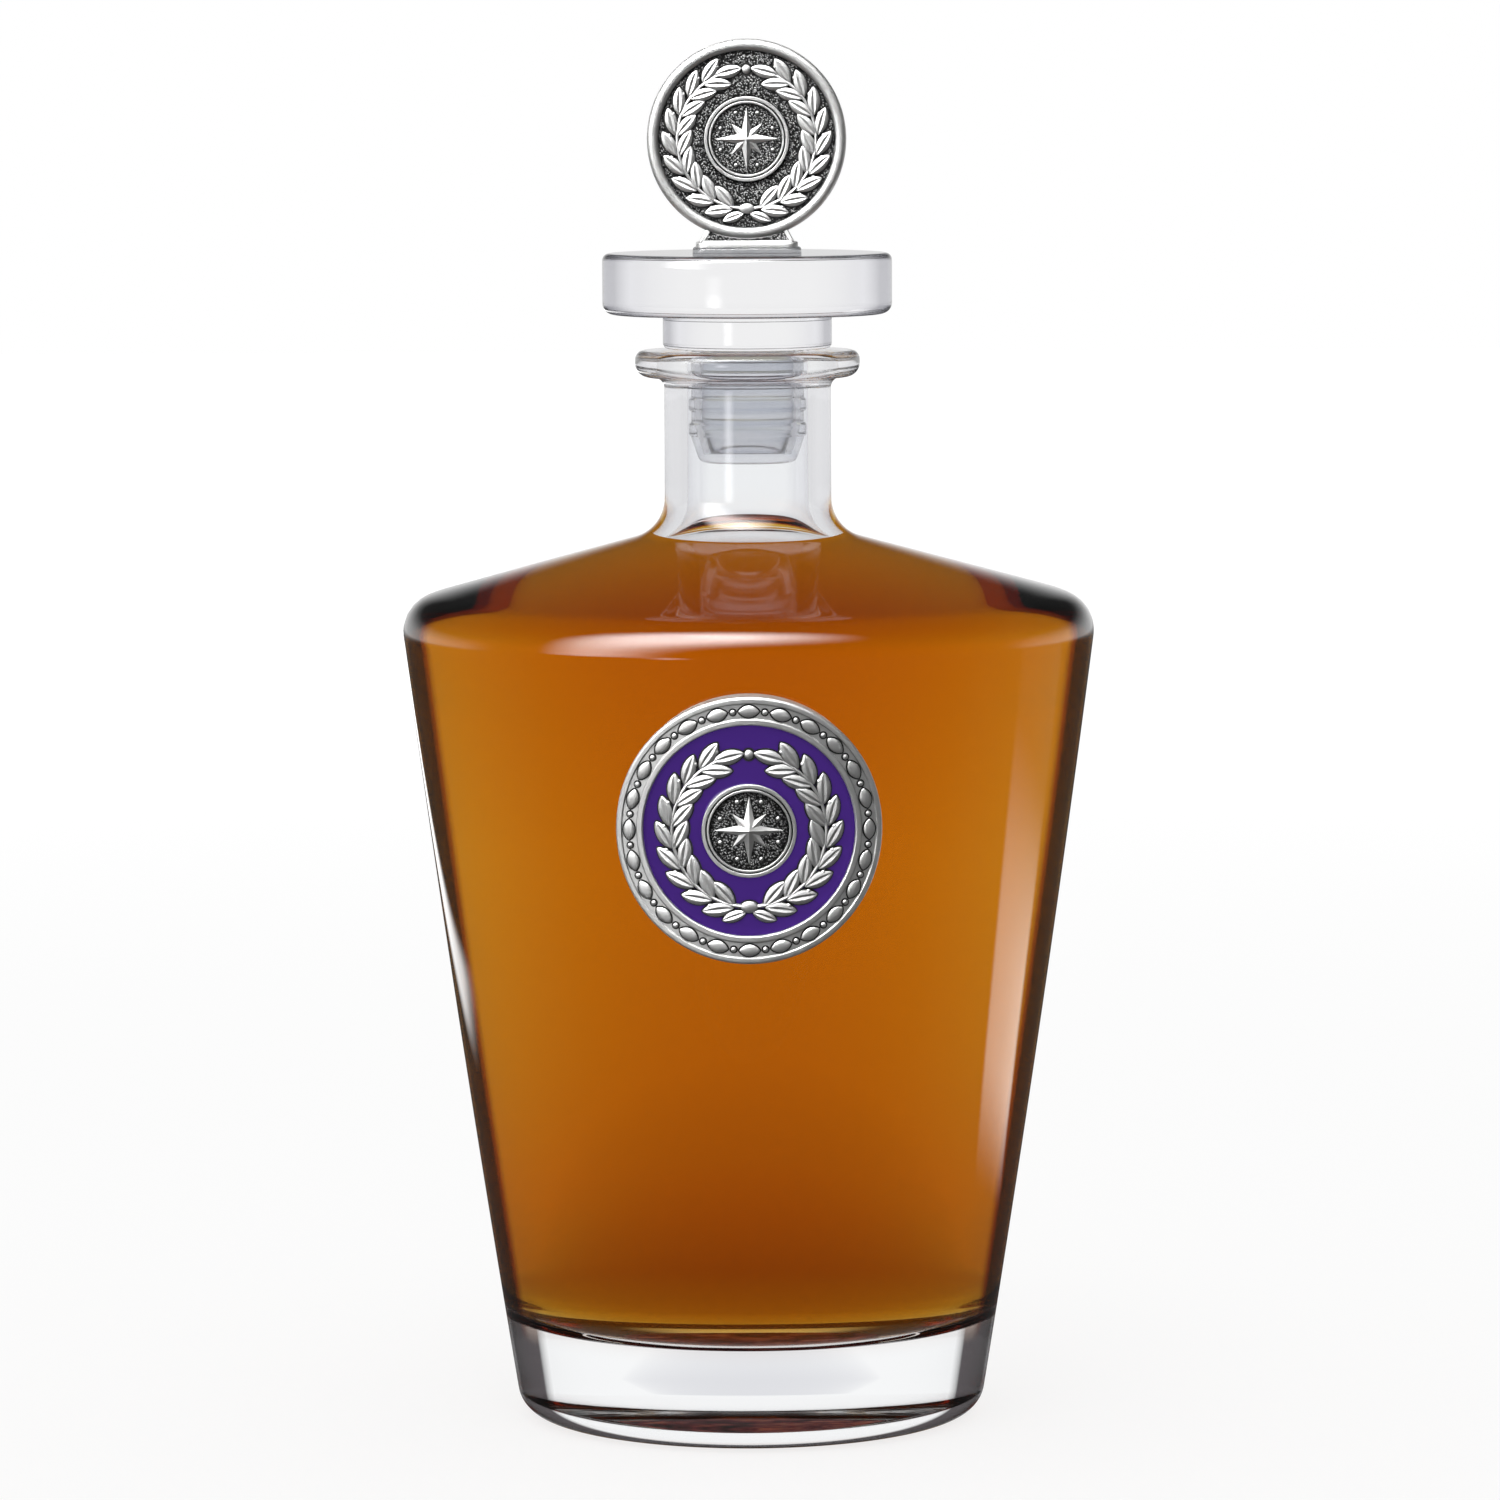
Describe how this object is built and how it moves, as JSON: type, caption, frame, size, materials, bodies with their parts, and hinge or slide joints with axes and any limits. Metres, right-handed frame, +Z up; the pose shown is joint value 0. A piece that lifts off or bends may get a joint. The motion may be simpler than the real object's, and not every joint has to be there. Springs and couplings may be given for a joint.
{
  "type": "liquor decanter",
  "caption": "Tapered round glass decanter holding amber liquor, with a disc-topped glass stopper on a polymer seal and cast pewter medallions.",
  "frame": {"origin": "on the decanter's axis, in the plane of its foot ring", "axes": "+Z up along the axis of the bottle, -Y towards the front that carries the emblem"},
  "size_m": [0.1146, 0.1168, 0.2281],
  "materials": {
    "flint_glass": "gloss",
    "amber_spirit": "gloss",
    "seal_polymer": "satin",
    "pewter": "satin",
    "clear_cement": "gloss",
    "violet_enamel": "gloss"
  },
  "bodies": {
    "bottle": {"decanter_glass": "flint_glass", "liquor": "amber_spirit", "emblem_casting": "pewter", "emblem_enamel": "violet_enamel", "emblem_pad": "clear_cement"},
    "seal": {"stopper_seal": "seal_polymer"},
    "stopper": {"stopper_glass": "flint_glass", "finial_casting": "pewter", "finial_cement": "clear_cement"}
  },
  "joints": [
    {"name": "stopper_lift", "type": "slide", "parent": "bottle", "child": "seal", "axis": [0, 0, 1], "range_m": [0, 0.03]},
    {"name": "stopper_twist", "type": "hinge", "parent": "seal", "child": "stopper", "pos_m": [0, 0, 0.177], "axis": [0, 0, 1], "continuous": true}
  ]
}
